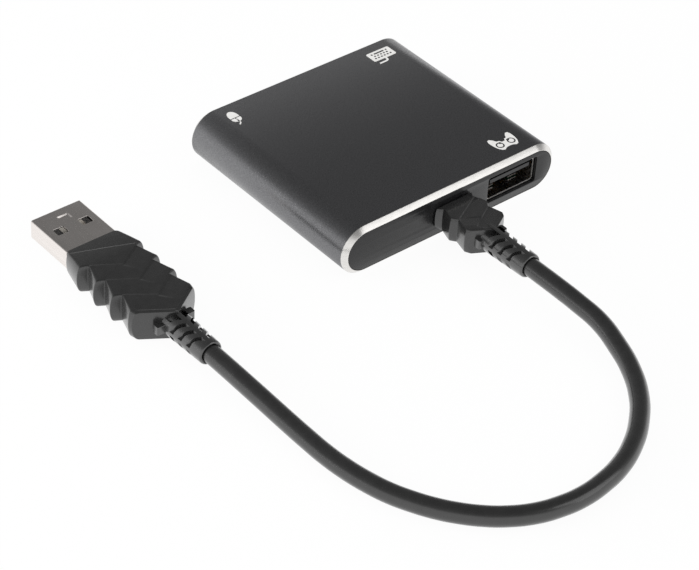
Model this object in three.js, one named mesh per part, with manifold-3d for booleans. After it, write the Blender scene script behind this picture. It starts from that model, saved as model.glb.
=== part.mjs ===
// Keyboard and mouse adapter for a game console, with its short detachable cable.
// Millimetres. The origin is under the middle of the case, on the surface that it stands on.
// +X runs along the front end, +Y to the rear end, +Z up.

import * as THREE from "three";
import { mergeVertices } from "three/addons/utils/BufferGeometryUtils.js";
import Module from "manifold-3d";

const wasm = await Module();
wasm.setup();

// Fits and cuts that several pieces share
const cutOverrun = 1.0;
const slideGap = 0.1;
const seatGap = 0.05;
const openGap = 0.3;

// Case: an extruded sleeve with a flat lid and floor and full round sides
const caseWidth = 58.0;
const caseDepth = 51.4;
const sleeveWall = 1.1;
const rimLand = 0.1;
const railThickness = 0.9;
const railReach = 1.8;
const railBite = 0.5;
const railSetback = 3.0;

// End plates
const plateThickness = 2.0;
const plateLugWidth = 3.0;
const plateLugLength = 3.0;
const plateLugHeight = 1.2;
const frontLugShares = [-0.3, -0.79];
const rearLugShares = [0];
const cutoutGap = 0.3;
const cutoutCorner = 0.5;

// Circuit board
const boardThickness = 1.2;
const boardStandoff = 0.79;
const boardSideGap = 0.54;
const boardEndGap = 0.3;
const tailHoleGap = 0.15;

// USB-A receptacles
const portHeadroom = 1.54;
const portSideGap = 0.05;
const portOpeningWidth = 12.5;
const portOpeningHeight = 5.12;
const portSheet = 0.3;
const portCorner = 0.5;
const portLength = 14.0;
const portSetback = 0.65;
const portBlockLength = 4.4;
const portRearSetback = 0.3;
const tongueSideGap = 0.7;
const tongueThickness = 1.2;
const tongueTopGap = 0.8;
const tongueSetback = 0.3;
const portLegWidth = 1.6;
const portLegThickness = 0.5;
const portLegLength = 1.5;
const portLegFront = 4.2;
const portLegInset = 3.6;
const tailWindowLength = 2.6;
const springWidth = 2.3;
const springFront = 2.4;
const springRootGap = 1.0;
const springSpacing = 6.6;
const springDip = 0.45;
const springSideGap = 0.35;
const sideSpringWidth = 1.6;
const sideSpringFront = 5.2;
const sideSpringLength = 4.4;
const sideSpringRise = 0.3;

// Spring contacts of the USB-A receptacles
const contactWidth = 1.0;
const contactThickness = 0.25;
const contactInner = 1.0;
const contactOuter = 3.5;
const contactTipSetback = 1.0;
const contactTail = 0.4;
const contactGap = 0.1;

// Console port: a small trapezoid receptacle that stands on its legs
const consoleOpeningWidth = 7.1;
const consoleOpeningHeight = 2.05;
const consoleTaper = 0.75;
const consoleTaperHeight = 0.7;
const consoleSheet = 0.25;
const consolePortLength = 6.4;
const consolePortSetback = 0.4;
const consoleBlockLength = 1.3;
const consoleTongueWidth = 3.7;
const consoleTongueThickness = 0.4;
const consoleTongueRise = 0.3;
const consoleTongueSetback = 1.0;
const consoleLegWidth = 1.4;
const consoleLegThickness = 0.4;
const consoleLegFront = 3.1;
const consoleLegInset = 1.0;

// Parts on the board
const controllerSize = 9.0;
const controllerHeight = 0.9;
const hostChipSize = 6.0;
const hostChipHeight = 0.85;
const crystalLength = 5.0;
const crystalWidth = 3.2;
const crystalHeight = 1.1;
const regulatorLength = 6.5;
const regulatorWidth = 3.5;
const regulatorHeight = 1.6;
const inductorSize = 4.0;
const inductorHeight = 1.8;
const capacitorLength = 3.2;
const capacitorWidth = 1.6;
const capacitorHeight = 1.4;
const capacitorPitch = 3.4;
const chipBevel = 0.15;
const chipColumnShare = 0.42;
const capacitorColumnShare = 0.7;
const inductorColumnShare = 0.8;

// Cable
const cordDiameter = 4.0;
const cordSides = 10;
const cordSteps = 24;
const cordEndGap = 0.3;
const reliefRootDiameter = 5.9;
const reliefEndDiameter = 5.3;
const reliefCoreDiameter = 4.1;
const reliefLength = 10.5;
const reliefRootDepth = 2.5;
const reliefSlotWidth = 1.15;
const reliefSlotPitch = 2.44;
const reliefLastSlot = 4.12;
const reliefSlantShare = 0.9;
const reliefSpineHalf = 0.5;
const reliefRibHalf = 0.4;
const reliefWindowHalf = 2.2;
const reliefWingHeight = 2.0;
const reliefWingRun = 0.6;
const usbWingHalf = 4.5;
const consoleWingHalf = 3.8;
const reliefRecessDepth = 0.8;
const reliefSlotCount = 3;
const reliefSides = 24;

// Overmoulds: arrow-shaped grips with stepped, barbed sides that swell towards mid-height
const mouldLevelShares = [-1, -0.95, -0.8, -0.5, 0, 0.5, 0.8, 0.95, 1];
const mouldNoseLean = 0.1;

const usbPlugX = -65.5;
const usbMouldFace = 9.2;
const usbMouldHeight = 6.6;
const usbMouldFrontHeight = 5.0;
const usbMouldStartHalf = 5.95;
const usbMouldStartSwell = 0.65;
const usbMouldTipHalf = 6.75;
const usbMouldTipSwell = 1.4;
const usbMouldTipLean = 0.3;
const usbMouldNotchHalf = 5.6;
const usbMouldNotchSwell = 0.9;
const usbMouldRearHalf = 6.2;
const usbMouldRearSwell = 1.1;
const usbMouldRearLean = 0.6;
const usbMouldFirstTip = 6.2;
const usbMouldPitch = 5.6;
const usbMouldTips = 4;
const usbMouldStep = 1.1;
const usbMouldRearRun = 1.9;
const usbMouldNose = 4.0;
const usbMouldSlope = 5.5;

const consoleMouldGap = 0.3;
const consoleMouldHeight = 5.8;
const consoleMouldFrontHeight = 4.9;
const consoleMouldStartHalf = 4.6;
const consoleMouldStartSwell = 0.5;
const consoleMouldTipHalf = 4.8;
const consoleMouldTipSwell = 0.55;
const consoleMouldTipLean = 0.2;
const consoleMouldNotchHalf = 3.9;
const consoleMouldNotchSwell = 0.4;
const consoleMouldRearHalf = 4.2;
const consoleMouldRearSwell = 0.55;
const consoleMouldRearLean = 0.3;
const consoleMouldFirstNotch = 1.2;
const consoleMouldFirstTip = 4.45;
const consoleMouldPitch = 4.65;
const consoleMouldTips = 2;
const consoleMouldStep = 1.25;
const consoleMouldRearRun = 1.2;
const consoleMouldNose = 2.3;
const consoleMouldSlope = 2.4;

// USB-A plug
const plugWidth = 12.1;
const plugHeight = 4.5;
const plugLength = 12.7;
const plugSheet = 0.3;
const plugCorner = 0.5;
const plugBackWall = 0.6;
const plugTailWidth = 9.0;
const plugTailHeight = 3.2;
const plugTailLength = 4.0;
const plugWindowWidth = 2.5;
const plugWindowLength = 2.1;
const plugWindowSpacing = 6.0;
const plugWindowFromTip = 6.3;
const plugInsertHeight = 1.9;
const plugInsertSetback = 0.35;
const plugContactWidth = 1.0;
const plugContactThickness = 0.2;
const plugContactLength = 8.5;
const plugContactSetback = 1.2;

// Console plug
const consoleFitGap = 0.125;
const consoleEndGap = 0.9;
const consolePlugTail = 3.0;
const consoleInsertGap = 0.15;

// Segments of the round stretches
const sideSegments = 24;
const cornerSegments = 3;

// Places worked out from the sizes above
const frontY = -caseDepth / 2;
const rearY = caseDepth / 2;
const rimChamfer = sleeveWall - rimLand;
const portShellWidth = portOpeningWidth + 2 * portSheet;
const portShellHeight = portOpeningHeight + 2 * portSheet;
const boardBottom = sleeveWall + boardStandoff;
const boardTop = boardBottom + boardThickness;
const partFloor = boardTop + seatGap;
const portHeight = partFloor + portShellHeight / 2;
const caseHeight = partFloor + portShellHeight + portHeadroom + sleeveWall;
const middleZ = caseHeight / 2;
const flatHalf = caseWidth / 2 - caseHeight / 2;
const boreRadius = caseHeight / 2 - sleeveWall;
const boardHalf = flatHalf + Math.sqrt(boreRadius ** 2 - (middleZ - boardBottom) ** 2) - boardSideGap;
const boardLength = caseDepth - 2 * plateThickness - 2 * boardEndGap;
const portSpacing = flatHalf - portShellWidth / 2 - portSideGap;
const portLegRear = portLength - portLegInset;
const tongueWidth = portOpeningWidth - 2 * tongueSideGap;
const tongueTop = portHeight + portOpeningHeight / 2 - tongueTopGap;
const tongueBottom = tongueTop - tongueThickness;
const blockFront = portLength - portRearSetback - portBlockLength;
const contactLegY = blockFront - contactGap - contactThickness;
const springRun = [springFront, blockFront - tailWindowLength / 2 - springRootGap];
const sideSpringHeight = portHeight + sideSpringRise;
const sideSpringRun = [sideSpringFront, sideSpringFront + sideSpringLength];
const usbPlugZ = usbMouldHeight / 2;
const consoleHeight = middleZ;
const consoleShellWidth = consoleOpeningWidth + 2 * consoleSheet;
const consoleShellHeight = consoleOpeningHeight + 2 * consoleSheet;
const consolePortFront = frontY + consolePortSetback;
const consolePortRear = consolePortFront + consolePortLength;
const consoleLegPlaces = [consoleLegFront, consolePortLength - consoleLegInset];
const consolePlugWidth = consoleOpeningWidth - 2 * consoleFitGap;
const consolePlugHeight = consoleOpeningHeight - 2 * consoleFitGap;
const contactPlaces = [-contactOuter, -contactInner, contactInner, contactOuter];
const portPlaces = [
  { name: "gamepad_port", x: portSpacing, rear: false },
  { name: "mouse_port", x: -portSpacing, rear: true },
  { name: "keyboard_port", x: portSpacing, rear: true },
];

// Materials
function finish(color, roughness, metalness) {
  return new THREE.MeshStandardMaterial({ color, roughness, metalness });
}
const anodised = finish(0x2c2c2d, 0.45, 0.9);
const blackPlastic = finish(0x141414, 0.35, 0.0);
const greyPlastic = finish(0x2b2b2b, 0.6, 0.0);
const cordSkin = finish(0x262626, 0.5, 0.0);
const steel = finish(0xb9b4ae, 0.3, 1.0);
const gilt = finish(0xc9a45a, 0.3, 1.0);
const boardGreen = finish(0x1f4a30, 0.5, 0.0);
const chipBlack = finish(0x1a1a1c, 0.6, 0.0);
const ceramic = finish(0xb59a76, 0.5, 0.0);
const nickel = finish(0xa8a8a4, 0.35, 1.0);

// Solids
function toSolid(geometry) {
  const bare = geometry.clone();
  bare.deleteAttribute("normal");
  bare.deleteAttribute("uv");
  const merged = mergeVertices(bare);
  const vertProperties = new Float32Array(merged.attributes.position.array);
  const triVerts = new Uint32Array(merged.index.array);
  return new wasm.Manifold(new wasm.Mesh({ numProp: 3, vertProperties, triVerts }));
}

function toGeometry(solid) {
  const mesh = solid.getMesh();
  const geometry = new THREE.BufferGeometry();
  geometry.setAttribute("position", new THREE.BufferAttribute(mesh.vertProperties, 3));
  geometry.setIndex(new THREE.BufferAttribute(mesh.triVerts, 1));
  geometry.computeVertexNormals();
  return geometry;
}

function box([x0, x1], [y0, y1], [z0, z1]) {
  const geometry = new THREE.BoxGeometry(x1 - x0, y1 - y0, z1 - z0);
  geometry.translate((x0 + x1) / 2, (y0 + y1) / 2, (z0 + z1) / 2);
  return toSolid(geometry);
}

// A span of a given size about a middle
function span(middle, size) {
  return [middle - size / 2, middle + size / 2];
}

// An outline in X and Z, run along Y
function alongY(shape, [y0, y1], curveSegments = sideSegments) {
  const geometry = new THREE.ExtrudeGeometry(shape, { depth: y1 - y0, bevelEnabled: false, curveSegments });
  geometry.rotateX(Math.PI / 2);
  geometry.translate(0, y1, 0);
  return toSolid(geometry);
}

// An outline in Y and X, run along Z
function alongZ(shape, [z0, z1]) {
  const geometry = new THREE.ExtrudeGeometry(shape, { depth: z1 - z0, bevelEnabled: false });
  const turn = new THREE.Matrix4().makeBasis(
    new THREE.Vector3(0, 1, 0),
    new THREE.Vector3(1, 0, 0),
    new THREE.Vector3(0, 0, -1),
  );
  geometry.applyMatrix4(turn);
  geometry.translate(0, 0, z1);
  return toSolid(geometry);
}

// An outline in Y and Z, run along X
function alongX(shape, [x0, x1]) {
  const geometry = new THREE.ExtrudeGeometry(shape, { depth: x1 - x0, bevelEnabled: false });
  const turn = new THREE.Matrix4().makeBasis(
    new THREE.Vector3(0, 1, 0),
    new THREE.Vector3(0, 0, 1),
    new THREE.Vector3(1, 0, 0),
  );
  geometry.applyMatrix4(turn);
  geometry.translate(x0, 0, 0);
  return toSolid(geometry);
}

function outline(points) {
  return new THREE.Shape(points.map(([a, b]) => new THREE.Vector2(a, b)));
}

// The case's section: a flat lid and floor between two half circles
function caseSection(inset) {
  const radius = caseHeight / 2 - inset;
  const shape = new THREE.Shape();
  shape.absarc(flatHalf, middleZ, radius, -Math.PI / 2, Math.PI / 2, false);
  shape.absarc(-flatHalf, middleZ, radius, Math.PI / 2, Math.PI * 1.5, false);
  return shape;
}

function roundedBox(width, height, corner, centreX, centreZ) {
  const [x0, x1] = span(centreX, width);
  const [z0, z1] = span(centreZ, height);
  const shape = new THREE.Shape();
  shape.absarc(x1 - corner, z0 + corner, corner, -Math.PI / 2, 0, false);
  shape.absarc(x1 - corner, z1 - corner, corner, 0, Math.PI / 2, false);
  shape.absarc(x0 + corner, z1 - corner, corner, Math.PI / 2, Math.PI, false);
  shape.absarc(x0 + corner, z0 + corner, corner, Math.PI, Math.PI * 1.5, false);
  return shape;
}

// The console port's section: wide at the top, with two slanted lower corners
function taperedBox(width, height, grow) {
  const half = width / 2 + grow;
  const tall = height / 2 + grow;
  return outline([
    [-half + consoleTaper, consoleHeight - tall],
    [half - consoleTaper, consoleHeight - tall],
    [half, consoleHeight - tall + consoleTaperHeight],
    [half, consoleHeight + tall],
    [-half, consoleHeight + tall],
    [-half, consoleHeight - tall + consoleTaperHeight],
  ]);
}

const adapter = new THREE.Group();

function add(name, solid, material, parent = adapter) {
  const mesh = new THREE.Mesh(toGeometry(solid), material);
  mesh.name = name;
  parent.add(mesh);
  return mesh;
}

// Case sleeve, with a cut rim at both ends and a pair of board rails in each side
function caseSleeve() {
  const body = new THREE.ExtrudeGeometry(caseSection(0), {
    depth: caseDepth - 2 * rimChamfer,
    bevelEnabled: true,
    bevelThickness: rimChamfer,
    bevelSize: rimChamfer,
    bevelOffset: -rimChamfer,
    bevelSegments: 1,
    curveSegments: sideSegments,
  });
  body.rotateX(Math.PI / 2);
  body.translate(0, rearY - rimChamfer, 0);
  const cavity = alongY(caseSection(sleeveWall), [frontY - cutOverrun, rearY + cutOverrun]);
  const skin = alongY(caseSection(sleeveWall - railBite), span(0, boardLength - 2 * railSetback));
  const railRun = span(0, boardLength);
  const rails = [-1, 1].flatMap((side) => {
    const across = [side * (boardHalf - railReach), side * caseWidth / 2].sort((a, b) => a - b);
    return [
      box(across, railRun, [0, boardBottom - slideGap]),
      box(across, railRun, [boardTop + slideGap, boardTop + slideGap + railThickness]),
    ];
  });
  const joined = rails[0].add(rails[1]).add(rails[2]).add(rails[3]).intersect(skin);
  return toSolid(body).subtract(cavity).add(joined);
}

// End plate, with lugs that reach over the board's edge
function endPlate(outerY, inward, lugShares, cutouts) {
  const between = (from, to) => [outerY + inward * from, outerY + inward * to].sort((a, b) => a - b);
  let plate = alongY(caseSection(sleeveWall + slideGap), between(0, plateThickness));
  const lugRun = between(plateThickness - railBite, plateThickness + boardEndGap + plateLugLength);
  const lugFloor = boardTop + slideGap;
  for (const share of lugShares) {
    const across = span(share * boardHalf, plateLugWidth);
    plate = plate.add(box(across, lugRun, [lugFloor, lugFloor + plateLugHeight]));
  }
  for (const cut of cutouts) plate = plate.subtract(cut);
  return plate;
}

function portCutout(x) {
  const shape = roundedBox(
    portShellWidth + 2 * cutoutGap,
    portShellHeight + 2 * cutoutGap,
    cutoutCorner,
    x,
    portHeight,
  );
  return alongY(shape, [-caseDepth, caseDepth], cornerSegments);
}

function consoleCutout() {
  const shape = taperedBox(consoleShellWidth, consoleShellHeight, cutoutGap);
  return alongY(shape, [-caseDepth, 0]);
}

// USB-A receptacle, with its mouth at y = 0 and its body towards +Y
function portShell() {
  const section = roundedBox(portShellWidth, portShellHeight, portCorner + portSheet, 0, portHeight);
  const opening = roundedBox(portOpeningWidth, portOpeningHeight, portCorner, 0, portHeight);
  const bore = alongY(opening, [-cutOverrun, portLength + cutOverrun], cornerSegments);
  let shell = alongY(section, [0, portLength], cornerSegments);
  for (const side of [-1, 1]) {
    const wall = side * (portShellWidth / 2 - portLegThickness / 2);
    for (const y of [portLegFront, portLegRear]) {
      const height = [boardTop - portLegLength, portHeight - portOpeningHeight / 4];
      shell = shell.add(box(span(wall, portLegThickness), span(y, portLegWidth), height));
    }
  }
  shell = shell.subtract(bore);
  const floor = portHeight - portOpeningHeight / 2;
  const tailWindow = box(
    span(0, 2 * contactOuter + 2 * contactWidth),
    span(blockFront, tailWindowLength),
    [floor - cutOverrun, floor + portSheet],
  );
  return springs(shell.subtract(tailWindow));
}

// Leaf springs, cut free and bent inwards: two in the roof, two in the floor, one in each side
function leaf(run, wall, inner) {
  const half = portSheet / 2;
  return outline([
    [run[1] + portSheet, wall - half],
    [run[1] + portSheet, wall + half],
    [run[0] + springSideGap, inner + half],
    [run[0] + springSideGap, inner - half],
  ]);
}

function springs(shell) {
  const through = portSheet + 2 * springSideGap;
  let sprung = shell;
  for (const side of [-1, 1]) {
    const wall = portHeight + (side * (portOpeningHeight + portSheet)) / 2;
    for (const x of span(0, springSpacing)) {
      sprung = sprung.subtract(box(span(x, springWidth + 2 * springSideGap), springRun, span(wall, through)));
      sprung = sprung.add(alongX(leaf(springRun, wall, wall - side * springDip), span(x, springWidth)));
    }
    const flank = (side * (portOpeningWidth + portSheet)) / 2;
    const height = sideSpringWidth + 2 * springSideGap;
    sprung = sprung.subtract(box(span(flank, through), sideSpringRun, span(sideSpringHeight, height)));
    const blade = leaf(sideSpringRun, flank, flank - side * springDip);
    sprung = sprung.add(alongZ(blade, span(sideSpringHeight, sideSpringWidth)));
  }
  return sprung;
}

// Insulator: a rear block with the tongue that carries the contacts
function portInsulator() {
  const block = box(
    span(0, portOpeningWidth - 2 * portCorner),
    [blockFront, portLength - portRearSetback],
    span(portHeight, portOpeningHeight - 2 * slideGap),
  );
  const tongue = box(
    span(0, tongueWidth),
    [tongueSetback, blockFront + portCorner],
    [tongueBottom, tongueTop],
  );
  let insulator = block.add(tongue);
  for (const x of contactPlaces) {
    const groove = box(
      span(x, contactWidth + 2 * contactGap),
      [tongueSetback - cutOverrun, blockFront],
      [tongueBottom - cutOverrun, tongueBottom + contactThickness],
    );
    insulator = insulator.subtract(groove);
  }
  return insulator;
}

function portContact(x) {
  const top = tongueBottom + contactThickness - contactGap;
  const tip = tongueSetback + contactTipSetback;
  const foot = boardBottom - contactTail;
  const strip = outline([
    [tip, top],
    [tip, top - contactThickness],
    [contactLegY, top - contactThickness],
    [contactLegY, foot],
    [contactLegY + contactThickness, foot],
    [contactLegY + contactThickness, top],
  ]);
  return alongX(strip, span(x, contactWidth));
}

function addPort({ name, x, rear }) {
  const port = new THREE.Group();
  port.position.set(x, rear ? rearY - portSetback : frontY + portSetback, 0);
  port.rotation.z = rear ? Math.PI : 0;
  add(`${name}_shell`, portShell(), steel, port);
  add(`${name}_tongue`, portInsulator(), blackPlastic, port);
  contactPlaces.forEach((place, index) => {
    add(`${name}_contact_${index + 1}`, portContact(place), gilt, port);
  });
  adapter.add(port);
}

// Console port
function consolePortShell() {
  const section = taperedBox(consoleShellWidth, consoleShellHeight, 0);
  const opening = taperedBox(consoleShellWidth, consoleShellHeight, -consoleSheet);
  let shell = alongY(section, [consolePortFront, consolePortRear]);
  for (const side of [-1, 1]) {
    for (const y of consoleLegPlaces) {
      const wall = side * (consoleShellWidth / 2 - consoleLegThickness / 2);
      const top = consoleHeight + consoleOpeningHeight / 4;
      const leg = box(
        span(wall, consoleLegThickness),
        span(consolePortFront + y, consoleLegWidth),
        [boardBottom - contactTail, top],
      );
      shell = shell.add(leg);
    }
  }
  return shell.subtract(alongY(opening, [consolePortFront - cutOverrun, consolePortRear + cutOverrun]));
}

function consolePortTongue() {
  const blockSection = taperedBox(consoleShellWidth, consoleShellHeight, -consoleSheet - slideGap);
  const blockRun = [consolePortRear - consoleBlockLength, consolePortRear];
  const tongue = box(
    span(0, consoleTongueWidth),
    [consolePortFront + consoleTongueSetback, blockRun[1] - slideGap],
    span(consoleHeight + consoleTongueRise, consoleTongueThickness),
  );
  return alongY(blockSection, blockRun).add(tongue);
}

// Board, cut for every leg and tail that goes through it
function mainBoard() {
  const through = [boardBottom - cutOverrun, boardTop + cutOverrun];
  let board = box(span(0, 2 * boardHalf), span(0, boardLength), [boardBottom, boardTop]);
  for (const { x, rear } of portPlaces) {
    const mouth = rear ? rearY - portSetback : frontY + portSetback;
    const inward = rear ? -1 : 1;
    const cut = (dx, dy, width, length) => {
      const hole = box(
        span(x + inward * dx, width + 2 * tailHoleGap),
        span(mouth + inward * dy, length + 2 * tailHoleGap),
        through,
      );
      board = board.subtract(hole);
    };
    for (const side of [-1, 1]) {
      const wall = side * (portShellWidth / 2 - portLegThickness / 2);
      cut(wall, portLegFront, portLegThickness, portLegWidth);
      cut(wall, portLegRear, portLegThickness, portLegWidth);
    }
    for (const place of contactPlaces) {
      cut(place, contactLegY + contactThickness / 2, contactWidth, contactThickness);
    }
  }
  for (const side of [-1, 1]) {
    for (const y of consoleLegPlaces) {
      const wall = side * (consoleShellWidth / 2 - consoleLegThickness / 2);
      const hole = box(
        span(wall, consoleLegThickness + 2 * tailHoleGap),
        span(consolePortFront + y, consoleLegWidth + 2 * tailHoleGap),
        through,
      );
      board = board.subtract(hole);
    }
  }
  return board;
}

// A package on the board, with a bevelled top edge
function chip(length, width, height, centreX, centreY) {
  const shape = outline([
    [-length / 2 + chipBevel, -width / 2 + chipBevel],
    [length / 2 - chipBevel, -width / 2 + chipBevel],
    [length / 2 - chipBevel, width / 2 - chipBevel],
    [-length / 2 + chipBevel, width / 2 - chipBevel],
  ]);
  const geometry = new THREE.ExtrudeGeometry(shape, {
    depth: height - 2 * chipBevel,
    bevelEnabled: true,
    bevelThickness: chipBevel,
    bevelSize: chipBevel,
    bevelSegments: 1,
  });
  geometry.translate(centreX, centreY, partFloor + chipBevel);
  return toSolid(geometry);
}

function addBoardParts() {
  add("controller_chip", chip(controllerSize, controllerSize, controllerHeight, 0, 0), chipBlack);
  const column = chipColumnShare * boardHalf;
  add("host_chip", chip(hostChipSize, hostChipSize, hostChipHeight, column, 0), chipBlack);
  add("crystal", chip(crystalLength, crystalWidth, crystalHeight, -column, capacitorPitch), nickel);
  add("regulator", chip(regulatorLength, regulatorWidth, regulatorHeight, -column, -capacitorPitch), chipBlack);
  const coilColumn = -inductorColumnShare * boardHalf;
  add("power_inductor", chip(inductorSize, inductorSize, inductorHeight, coilColumn, 0), chipBlack);
  for (const index of [0, 1, 2, 3]) {
    const y = (index - 1.5) * capacitorPitch;
    const x = capacitorColumnShare * boardHalf;
    add(`capacitor_${index + 1}`, chip(capacitorLength, capacitorWidth, capacitorHeight, x, y), ceramic);
  }
}

// Overmould: a barbed outline seen from above, thinned towards the plug.
// The swell runs from 0 at the flat top and bottom to 1 at mid-height.
function mouldOutline(m, swell) {
  const notch = m.notchHalf + m.notchSwell * swell;
  const right = [[m.startHalf + m.startSwell * swell, 0]];
  if (m.firstNotch > 0) right.push([notch, m.firstNotch]);
  for (let index = 0; index < m.tips; index += 1) {
    const last = index === m.tips - 1;
    const tip = m.firstTip + index * m.pitch;
    const reach = last ? m.rearSwell : m.tipSwell;
    right.push([m.tipHalf + reach * swell, tip + m.tipLean * swell]);
    if (last) right.push([m.rearHalf + reach * swell, tip + m.rearRun - m.rearLean * swell]);
    else right.push([notch, tip + m.step + m.tipLean * swell]);
  }
  const nose = [0, mouldRear(m) + m.nose + mouldNoseLean * swell];
  const left = right.map(([half, run]) => [-half, run]).reverse();
  return [...right, nose, ...left];
}

function mouldRear(m) {
  return m.firstTip + (m.tips - 1) * m.pitch + m.rearRun;
}

function mouldLength(m) {
  return mouldRear(m) + m.nose + mouldNoseLean;
}

function mouldBody(m) {
  const rings = mouldLevelShares.map((level) => {
    const ring = mouldOutline(m, Math.sqrt(1 - level ** 2));
    return ring.map(([half, run]) => [m.x + half, m.face - run, m.z + (level * m.height) / 2]).reverse();
  });
  const count = rings[0].length;
  const index = [];
  for (let low = 0; low < (rings.length - 1) * count; low += count) {
    const high = low + count;
    for (let place = 0; place < count; place += 1) {
      const next = (place + 1) % count;
      index.push(low + place, low + next, high + next);
      index.push(low + place, high + next, high + place);
    }
  }
  const lid = (rings.length - 1) * count;
  const contour = rings[0].map(([x, y]) => new THREE.Vector2(x, y));
  for (const [a, b, c] of THREE.ShapeUtils.triangulateShape(contour, [])) {
    index.push(c, b, a, lid + a, lid + b, lid + c);
  }
  const geometry = new THREE.BufferGeometry();
  geometry.setAttribute("position", new THREE.Float32BufferAttribute(rings.flat(2), 3));
  geometry.setIndex(index);
  return toSolid(geometry);
}

function overmould(m) {
  const end = m.face - mouldLength(m);
  const side = outline([
    [m.face, m.z - m.frontHeight / 2],
    [m.face, m.z + m.frontHeight / 2],
    [m.face - m.slope, m.z + m.height / 2],
    [end - cutOverrun, m.z + m.height / 2],
    [end - cutOverrun, m.z - m.height / 2],
    [m.face - m.slope, m.z - m.height / 2],
  ]);
  const bore = reliefCoreDiameter / 2 + slideGap;
  const socket = round([bore, bore], [end - cutOverrun, end + reliefRootDepth + openGap], m.x, m.z);
  const profile = alongX(side, span(m.x, 2 * (m.tipHalf + m.tipSwell) + 2 * cutOverrun));
  return mouldBody(m).intersect(profile).subtract(socket).subtract(m.pocket);
}

// A round solid along Y, given its radii at the low and the high end
function round([lowRadius, highRadius], [y0, y1], x, z) {
  const geometry = new THREE.CylinderGeometry(highRadius, lowRadius, y1 - y0, reliefSides);
  geometry.translate(x, (y0 + y1) / 2, z);
  return toSolid(geometry);
}

// A cut in a strain relief on one side of its spine, slanting back towards the middle.
// It is given by the run of its ends at the side, and is open upwards and downwards from the rib.
function reliefCut(m, side, [low, high], [inner, outer], ribHalf) {
  const slope = (x) => reliefSlantShare * (reliefRootDiameter / 2 - x);
  const plan = outline([
    [low - slope(inner), m.x + side * inner],
    [low - slope(outer), m.x + side * outer],
    [high - slope(outer), m.x + side * outer],
    [high - slope(inner), m.x + side * inner],
  ]);
  const over = reliefRootDiameter / 2 + cutOverrun;
  return [
    alongZ(plan, [m.z + ribHalf, m.z + over]),
    alongZ(plan, [m.z - over, m.z - ribHalf]),
  ];
}

// Strain relief: a core that plugs into the grip, a skin with slanting slots, and two wings at its root
function strainRelief(m) {
  const root = m.face - mouldLength(m);
  const end = root - reliefLength;
  const core = reliefCoreDiameter / 2;
  const outer = reliefRootDiameter / 2;
  let skin = round([reliefEndDiameter / 2, outer], [end, root], m.x, m.z);
  skin = skin.add(round([outer, outer], [root, root + m.nose], m.x, m.z));
  const across = [reliefSpineHalf, outer + cutOverrun];
  const firstRing = end + reliefLastSlot + reliefSlotCount * reliefSlotPitch - reliefSlotWidth / 2;
  const window = [firstRing, root + 2 * m.nose];
  for (const side of [-1, 1]) {
    for (let row = 0; row < reliefSlotCount; row += 1) {
      const run = span(end + reliefLastSlot + row * reliefSlotPitch, reliefSlotWidth);
      for (const cut of reliefCut(m, side, run, across, reliefRibHalf)) skin = skin.subtract(cut);
    }
    const opening = [reliefSpineHalf, reliefWindowHalf];
    for (const cut of reliefCut(m, side, window, opening, reliefWingHeight / 2)) skin = skin.subtract(cut);
  }
  const wings = box(
    span(m.x, 2 * m.wingHalf),
    [root + reliefWingRun, root + m.nose],
    span(m.z, reliefWingHeight),
  );
  const plan = outline(mouldOutline(m, 1).map(([half, run]) => [m.x + half, m.face - run - slideGap]));
  const grip = new THREE.ExtrudeGeometry(plan, { depth: 2 * m.height, bevelEnabled: false });
  grip.translate(0, 0, m.z - m.height);
  const plug = round([core, core], [end, root + reliefRootDepth], m.x, m.z);
  const recess = cordDiameter / 2 + cordEndGap;
  const mouth = round([recess, recess], [end - cutOverrun, end + reliefRecessDepth], m.x, m.z);
  return skin.add(wings).subtract(toSolid(grip)).add(plug).subtract(mouth);
}

// USB-A plug
const usbMould = {
  x: usbPlugX,
  z: usbPlugZ,
  face: usbMouldFace,
  height: usbMouldHeight,
  frontHeight: usbMouldFrontHeight,
  startHalf: usbMouldStartHalf,
  startSwell: usbMouldStartSwell,
  tipHalf: usbMouldTipHalf,
  tipSwell: usbMouldTipSwell,
  tipLean: usbMouldTipLean,
  notchHalf: usbMouldNotchHalf,
  notchSwell: usbMouldNotchSwell,
  rearHalf: usbMouldRearHalf,
  rearSwell: usbMouldRearSwell,
  rearLean: usbMouldRearLean,
  firstTip: usbMouldFirstTip,
  pitch: usbMouldPitch,
  tips: usbMouldTips,
  firstNotch: 0,
  step: usbMouldStep,
  rearRun: usbMouldRearRun,
  nose: usbMouldNose,
  wingHalf: usbWingHalf,
  slope: usbMouldSlope,
  pocket: box(
    span(usbPlugX, plugTailWidth + 2 * slideGap),
    [usbMouldFace - plugTailLength - openGap, usbMouldFace + cutOverrun],
    span(usbPlugZ, plugTailHeight + 2 * slideGap),
  ),
};
const plugBase = usbMouldFace + seatGap;
const plugTip = plugBase + plugLength;
const plugFloor = usbPlugZ - plugHeight / 2 + plugSheet;

function usbPlugShell() {
  const section = roundedBox(plugWidth, plugHeight, plugCorner, usbPlugX, usbPlugZ);
  const bore = roundedBox(
    plugWidth - 2 * plugSheet,
    plugHeight - 2 * plugSheet,
    plugCorner - plugSheet,
    usbPlugX,
    usbPlugZ,
  );
  let shell = alongY(section, [plugBase, plugTip], cornerSegments);
  shell = shell.subtract(alongY(bore, [plugBase + plugBackWall, plugTip + cutOverrun], cornerSegments));
  const tail = box(
    span(usbPlugX, plugTailWidth),
    [plugBase - plugTailLength, plugBase + plugBackWall / 2],
    span(usbPlugZ, plugTailHeight),
  );
  shell = shell.add(tail);
  for (const x of span(usbPlugX, plugWindowSpacing)) {
    const window = box(
      span(x, plugWindowWidth),
      span(plugTip - plugWindowFromTip, plugWindowLength),
      span(usbPlugZ, plugHeight + 2 * cutOverrun),
    );
    shell = shell.subtract(window);
  }
  return shell;
}

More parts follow.
